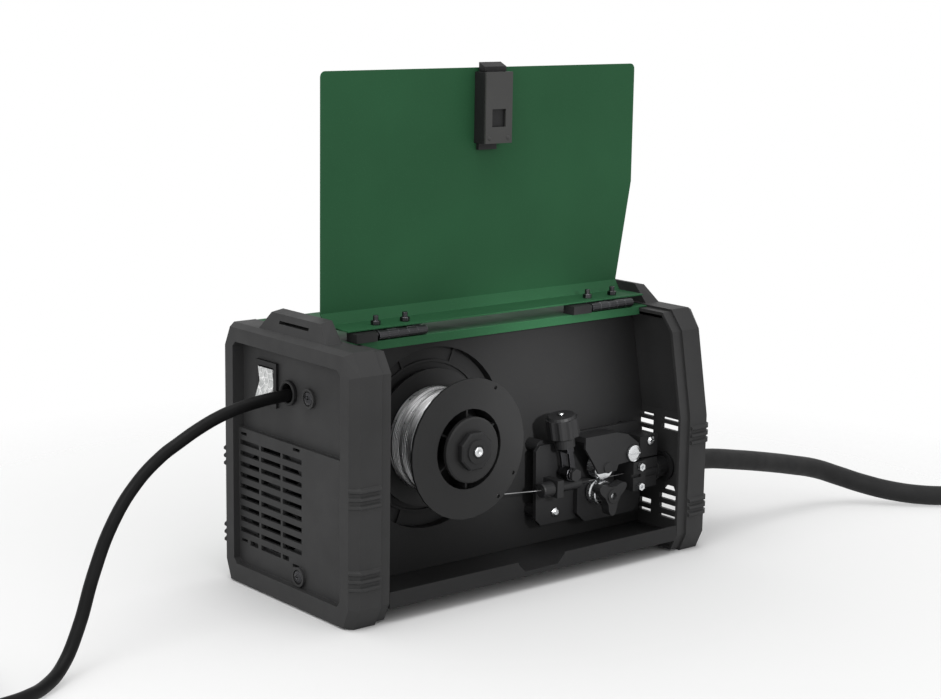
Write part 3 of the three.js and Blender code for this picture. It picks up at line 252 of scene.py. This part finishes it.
def moulded(name, colour, roughness, grain=1400.0, depth=0.00008, edge_lightening=1.5, edge=0.0005):
    """Moulded plastic: fine spark-eroded grain, faint clouds of tone, and lighter edges that are
    partly rubbed wear and partly painted highlight.
    """
    material, tree, shader, place = start_material(name)
    normal, edges = soft_edge(tree, edge)
    clouds = remap(tree, noise(tree, place, 14.0, 5.0), 0.0, 1.0)
    base = mix(tree, clouds, scaled(colour, 0.88), scaled(colour, 1.12))
    edge_breakup = remap(tree, noise(tree, place, 160.0, 3.0), 0.0, 1.0, 0.35, 0.65)
    # Edge lightening broken up by noise: rubbed wear, and on the cap partly painted highlight.
    wear_and_highlight_mask = tree.nodes.new("ShaderNodeMath")
    wear_and_highlight_mask.operation = "MULTIPLY"
    link(tree, edges, wear_and_highlight_mask.inputs[0])
    link(tree, edge_breakup, wear_and_highlight_mask.inputs[1])
    link(tree, mix(tree, wear_and_highlight_mask.outputs[0], base, scaled(colour, edge_lightening)), shader.inputs["Base Color"])
    link(tree, remap(tree, noise(tree, place, 60.0), roughness - 0.06, roughness + 0.06),
         shader.inputs["Roughness"])
    shader.inputs["Specular IOR Level"].default_value = 0.22
    bump(tree, shader, noise(tree, place, grain, 2.0), 0.5, depth, normal)
    return material


def coated(name, colour, roughness, edge_lightening=1.6, shine=0.2):
    """Powder-coated sheet: soft orange peel, slight tone changes and thinner paint on the edges."""
    material, tree, shader, place = start_material(name)
    normal, edges = soft_edge(tree, 0.0006)
    clouds = remap(tree, noise(tree, place, 9.0, 4.0), 0.0, 1.0)
    base = mix(tree, clouds, scaled(colour, 0.9), scaled(colour, 1.1))
    speck = remap(tree, noise(tree, place, 900.0, 1.0), 0.0, 0.25, 0.62, 0.7)
    base = mix(tree, speck, base, scaled(colour, 1.5))
    link(tree, mix(tree, edges, base, scaled(colour, edge_lightening)), shader.inputs["Base Color"])
    link(tree, remap(tree, noise(tree, place, 30.0), roughness - 0.05, roughness + 0.07),
         shader.inputs["Roughness"])
    shader.inputs["Specular IOR Level"].default_value = shine
    bump(tree, shader, noise(tree, place, 420.0, 3.0), 0.35, 0.00012, normal)
    return material


def metal(name, colour, roughness, stretch=(1, 1, 14), scale=180.0, stain=0.75, edge_lightening=1.2):
    """Machined or plated metal: fine brushed lines, and dull patches."""
    material, tree, shader, place = start_material(name)
    shader.inputs["Metallic"].default_value = 1.0
    normal, edges = soft_edge(tree, 0.0003)
    lines = noise(tree, place, scale, 3.0, stretch)
    patches = remap(tree, noise(tree, place, 55.0, 5.0), 0.0, 1.0, 0.4, 0.75)
    base = mix(tree, patches, colour, scaled(colour, stain))
    # Lighter edges: wear, and for black steel partly painted highlight.
    link(tree, mix(tree, edges, base, scaled(colour, edge_lightening)), shader.inputs["Base Color"])
    link(tree, remap(tree, lines, roughness - 0.08, roughness + 0.14), shader.inputs["Roughness"])
    bump(tree, shader, lines, 0.25, 0.00005, normal)
    return material


def banded(name, dark, light, pitch, axis, metallic, roughness, depth):
    """Close parallel turns or laminations across an axis, with slight unevenness."""
    material, tree, shader, place = start_material(name)
    wave = tree.nodes.new("ShaderNodeTexWave")
    wave.bands_direction = axis
    wave.inputs["Scale"].default_value = 0.314 / pitch
    wave.inputs["Distortion"].default_value = 0.4
    wave.inputs["Detail"].default_value = 1.0
    link(tree, place, wave.inputs["Vector"])
    uneven = remap(tree, noise(tree, place, 90.0), 0.0, 0.35)
    base = mix(tree, wave.outputs["Fac"], dark, light)
    link(tree, mix(tree, uneven, base, dark), shader.inputs["Base Color"])
    shader.inputs["Metallic"].default_value = metallic
    link(tree, remap(tree, noise(tree, place, 200.0), roughness - 0.08, roughness + 0.1),
         shader.inputs["Roughness"])
    bump(tree, shader, wave.outputs["Fac"], 0.8, depth)
    return material


def wire_metal(name):
    """Drawn steel wire: bright, with darker streaks that run along the turns."""
    material, tree, shader, place = start_material(name)
    streaks = noise(tree, place, 60.0, 4.0, (0.6, 26, 0.6))
    brightness = remap(tree, streaks, 0.0, 1.0, 0.35, 0.65)
    base = mix(tree, brightness, (0.16, 0.16, 0.16), (0.78, 0.78, 0.79))
    link(tree, base, shader.inputs["Base Color"])
    shader.inputs["Metallic"].default_value = 1.0
    link(tree, remap(tree, noise(tree, place, 300.0), 0.24, 0.42), shader.inputs["Roughness"])
    bump(tree, shader, streaks, 0.2, 0.0001)
    return material


def rubber(name, colour, roughness, shine=0.25):
    """Soft cable or grip rubber: dusty tone changes and a fine matt skin."""
    material, tree, shader, place = start_material(name)
    dust = remap(tree, noise(tree, place, 45.0, 6.0), 0.0, 0.6, 0.45, 0.75)
    link(tree, mix(tree, dust, colour, scaled(colour, 1.9)), shader.inputs["Base Color"])
    link(tree, remap(tree, noise(tree, place, 120.0), roughness - 0.07, roughness + 0.07),
         shader.inputs["Roughness"])
    shader.inputs["Specular IOR Level"].default_value = shine
    bump(tree, shader, noise(tree, place, 1100.0, 3.0), 0.4, 0.00008)
    return material


def crumpled(name):
    """The switch's cloudy rocker, still under its wrinkled clear film, with painted white
    highlights along the film's creases.
    """
    material, tree, shader, place = start_material(name)
    folds = tree.nodes.new("ShaderNodeTexVoronoi")
    folds.feature = "DISTANCE_TO_EDGE"
    folds.inputs["Scale"].default_value = 190.0
    link(tree, place, folds.inputs["Vector"])
    creases = remap(tree, folds.outputs["Distance"], 0.0, 1.0, 0.0, 0.12)
    cloudy = remap(tree, noise(tree, place, 260.0, 5.0), 0.0, 1.0)
    base = mix(tree, cloudy, (0.28, 0.29, 0.29), (0.6, 0.61, 0.6))
    # Painted highlight: near-white lines where the clear film creases.
    link(tree, mix(tree, creases, (0.9, 0.9, 0.9), base), shader.inputs["Base Color"])
    shader.inputs["Roughness"].default_value = 0.22
    shader.inputs["Coat Weight"].default_value = 0.6
    shader.inputs["Coat Roughness"].default_value = 0.12
    bump(tree, shader, creases, 0.7, 0.0007)
    return material


def circuit(name):
    """A green board under rows of dark components."""
    material, tree, shader, place = start_material(name)
    bricks = tree.nodes.new("ShaderNodeTexBrick")
    bricks.inputs["Color1"].default_value = (0.02, 0.09, 0.04, 1)
    bricks.inputs["Color2"].default_value = (0.015, 0.02, 0.02, 1)
    bricks.inputs["Mortar"].default_value = (0.35, 0.3, 0.12, 1)
    bricks.inputs["Scale"].default_value = 60.0
    bricks.inputs["Mortar Size"].default_value = 0.012
    link(tree, place, bricks.inputs["Vector"])
    link(tree, bricks.outputs["Color"], shader.inputs["Base Color"])
    link(tree, remap(tree, noise(tree, place, 80.0), 0.35, 0.6), shader.inputs["Roughness"])
    bump(tree, shader, bricks.outputs["Fac"], 0.6, 0.0006)
    return material


MATERIALS = {
    # The cap's strong edge lightening is partly painted highlight, for the light caught on its
    # chamfers.
    "cap": moulded("cap_plastic", (0.0265, 0.0265, 0.0268), 0.6, edge_lightening=1.9),
    "dark": moulded("dark_plastic", (0.0115, 0.0115, 0.012), 0.5, grain=1800.0),
    "latch": moulded("latch_plastic", (0.042, 0.042, 0.041), 0.45, edge=0.0003),
    "spool": moulded("spool_plastic", (0.014, 0.014, 0.0142), 0.44, grain=700.0, depth=0.00005),
    "sheet": coated("black_sheet", (0.0145, 0.0145, 0.0148), 0.58),
    "green": coated("green_sheet", (0.0185, 0.0735, 0.032), 0.56, edge_lightening=1.9, shine=0.07),
    "zinc": metal("zinc_steel", (0.72, 0.73, 0.74), 0.24),
    # Black steel's strong edge lightening is partly painted highlight: the light lines on hinge
    # knuckles and pins.
    "black_steel": metal("black_steel", (0.05, 0.05, 0.053), 0.34, edge_lightening=5.0),
    "aluminium": metal("aluminium", (0.6, 0.61, 0.62), 0.4, scale=90.0),
    "brass": metal("brass", (0.72, 0.52, 0.26), 0.3),
    "wire": wire_metal("steel_wire"),
    "core": banded("transformer_core", dark=(0.10, 0.07, 0.05), light=(0.42, 0.20, 0.10),
                   pitch=0.0012, axis="Z", metallic=0.6, roughness=0.5, depth=0.0003),
    "rubber": rubber("rubber", (0.008, 0.008, 0.0082), 0.6),
    "lead": rubber("lead_rubber", (0.003, 0.003, 0.0031), 0.5, shine=0.12),
    "rocker": crumpled("clear_rocker"),
    "board": circuit("board"),
}
LOOK_OF_SLOT = {
    "cap_plastic": "cap", "dark_plastic": "dark", "spool_plastic": "spool", "black_sheet": "sheet",
    "green_sheet": "green", "zinc_steel": "zinc", "black_steel": "black_steel",
    "aluminium": "aluminium", "steel_wire": "wire", "brass": "brass", "rubber": "rubber",
    "clear_rocker": "rocker", "board": "board", "transformer_core": "core",
}
LOOK_OF_NODE = {"latch_plate": "latch", "mains_plug": "lead"}


def dress_nodes():
    """Gives every CAD node the material of its slot, or its own."""
    for entry in frame["record"]["subparts"]:
        mesh = NODES[entry["node"]].data
        mesh.materials.clear()
        look = LOOK_OF_NODE.get(entry["node"], LOOK_OF_SLOT[entry["material_slot"]])
        mesh.materials.append(MATERIALS[look])


# ---- Pieces finer than the CAD -----------------------------------------------------------------

def add_piece(name, vertices, faces, material, body):
    mesh = bpy.data.meshes.new(name)
    mesh.from_pydata(vertices, [], faces)
    mesh.materials.append(material)
    for face in mesh.polygons:
        face.use_smooth = True
    mesh.update()
    piece = bpy.data.objects.new(name, mesh)
    bpy.context.collection.objects.link(piece)
    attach(piece, body)
    return piece


def circle(sides):
    """Evenly spaced points on a circle of radius 1."""
    angles = [2 * math.pi * k / sides for k in range(sides)]
    return [(math.cos(angle), math.sin(angle)) for angle in angles]


def skin(rings, sides, closed=False):
    """Faces between rings of vertices, each ring of as many vertices as there are sides."""
    faces = []
    for ring in range(rings if closed else rings - 1):
        first, second = ring * sides, (ring + 1) % rings * sides
        for k in range(sides):
            following = (k + 1) % sides
            faces.append((first + k, second + k, second + following, first + following))
    return faces


def lathe_y(centre, profile, sides, closed=False):
    """Vertices and faces of (radius, y) points turned about a line along Y through centre."""
    x, z = centre
    vertices = [
        (x + radius * cos, y, z + radius * sin)
        for radius, y in profile for cos, sin in circle(sides)
    ]
    return vertices, skin(len(profile), sides, closed)


WIRE_TURNS = 46            # turns of wire across the spool
WIRE_DEPTH = 0.006         # how far down into the winding the visible layer goes
# Shape of one turn: share of its width, and depth below its top in widths.
TURN_SHAPE = ((0.02, 0.42), (0.25, 0.08), (0.5, 0.0), (0.75, 0.08), (0.98, 0.42))


def wound_wire():
    """The winding's turns side by side, in place of its plain solid."""
    low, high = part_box("wire_winding")
    middle = ((low[0] + high[0]) / 2, (low[2] + high[2]) / 2)
    outside = (high[0] - low[0]) / 2
    bore = outside - WIRE_DEPTH
    pitch = (high[1] - low[1]) / WIRE_TURNS
    profile = [(bore, low[1])]
    for turn in range(WIRE_TURNS):
        sunk = 0.00025 * math.sin(turn * 1.7) ** 2
        for share, drop in TURN_SHAPE:
            profile.append((outside - drop * pitch - sunk, low[1] + (turn + share) * pitch))
    profile.append((bore, high[1]))
    vertices, faces = lathe_y(middle, profile, 72, closed=True)
    piece = add_piece("wound_wire", vertices, faces, MATERIALS["wire"], "spool")
    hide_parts("wire_winding")


def spindle_bolt():
    """The bright hexagon-socket bolt in the end of the spool spindle."""
    low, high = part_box("spool_spindle")
    middle = ((low[0] + high[0]) / 2, (low[2] + high[2]) / 2)
    face = low[1]
    profile = [(0.0001, face - 0.0001), (0.0012, face - 0.0001), (0.0014, face - 0.0006),
               (0.0028, face - 0.0006), (0.0035, face - 0.0003), (0.0036, face + 0.0004)]
    vertices, faces = lathe_y(middle, profile, 24)
    piece = add_piece("spindle_bolt", vertices, faces, MATERIALS["zinc"], "machine")


TENSION_PIVOT = (0.0495, -0.05, 0.0705)
TENSION_TILT = 11          # degrees that the tension screw leans towards the rear


def tension_screw_tip():
    """The bright domed end of the tension screw, above its knob."""
    lean = Matrix.Rotation(-math.radians(TENSION_TILT), 3, "Y")
    sides = 16
    profile = [(0.0021, 0.0466), (0.0021, 0.0474), (0.0012, 0.0478)]
    vertices = [
        Vector(TENSION_PIVOT) + lean @ Vector((radius * cos, radius * sin, height))
        for radius, height in profile for cos, sin in circle(sides)
    ]
    faces = [face[::-1] for face in skin(len(profile), sides)]
    faces.append(tuple(range((len(profile) - 1) * sides, len(profile) * sides)))
    piece = add_piece("tension_screw_tip", vertices, faces, MATERIALS["zinc"], "tensioner")


# ---- Stage ------------------------------------------------------------------------------------

FLOOR_SIDE = 6.0
FLOOR_FADE = (0.22, 0.62)  # distances from the machine's middle between which the floor fades out
FLOOR_GAP = 0.0002         # keeps the floor's surface just under the machine's feet


def make_floor():
    """A white floor that takes the shadows near the machine and fades out around it."""
    mesh = bpy.data.meshes.new("floor")
    half = FLOOR_SIDE / 2
    corners = [(-half, -half, 0), (half, -half, 0), (half, half, 0), (-half, half, 0)]
    mesh.from_pydata(corners, [], [(0, 1, 2, 3)])
    material, tree, shader, place = start_material("floor")
    shader.inputs["Base Color"].default_value = (0.67, 0.67, 0.67, 1)
    shader.inputs["Roughness"].default_value = 0.9
    shader.inputs["Specular IOR Level"].default_value = 0.1
    away = tree.nodes.new("ShaderNodeVectorMath")
    away.operation = "LENGTH"
    link(tree, place, away.inputs[0])
    fade = remap(tree, away.outputs["Value"], 1.0, 0.0, *FLOOR_FADE)
    link(tree, fade, shader.inputs["Alpha"])
    mesh.materials.append(material)
    floor = bpy.data.objects.new("floor", mesh)
    floor.location.z = -FLOOR_GAP
    bpy.context.collection.objects.link(floor)


def add_light(data, place, target):
    light = bpy.data.objects.new(data.name, data)
    bpy.context.collection.objects.link(light)
    light.location = place
    light.rotation_euler = (Vector(target) - Vector(place)).to_track_quat("-Z", "Y").to_euler()


def area_light(name, place, size, power):
    """A round soft box aimed at the middle of the machine."""
    data = bpy.data.lights.new(name, "AREA")
    data.shape = "DISK"
    data.size = size
    data.energy = power
    add_light(data, place, (0, 0, 0.15))


def bay_light():
    """A soft spot through the open side on to the inner wall, left of the feeder."""
    data = bpy.data.lights.new("bay", "SPOT")
    data.energy = 60
    data.spot_size = math.radians(12)
    data.spot_blend = 1.0
    data.shadow_soft_size = 0.03
    add_light(data, (-0.2, -0.95, 0.42), (0.04, -0.024, 0.122))


def make_light():
    world = bpy.data.worlds.new("studio")
    bpy.context.scene.world = world
    world.use_nodes = True
    background = world.node_tree.nodes["Background"]
    background.inputs["Color"].default_value = (1, 1, 1, 1)
    background.inputs["Strength"].default_value = 1.0
    bpy.context.scene.view_settings.view_transform = "Standard"
    area_light("overhead", (-0.3, -0.2, 1.9), size=1.4, power=15)
    area_light("rear_side", (-1.7, -0.5, 0.8), size=1.0, power=6)
    area_light("door_side", (0.4, -1.9, 1.0), size=1.2, power=3)
    bay_light()


make_camera()
make_cord("mains_lead_cord", MAINS, MATERIALS["lead"], ["mains_lead", "mains_coil"])
make_cord("torch_cable_cord", TORCH, MATERIALS["rubber"], ["torch_cable", "torch_coil"])
dress_nodes()
wound_wire()
spindle_bolt()
tension_screw_tip()
make_floor()
make_light()
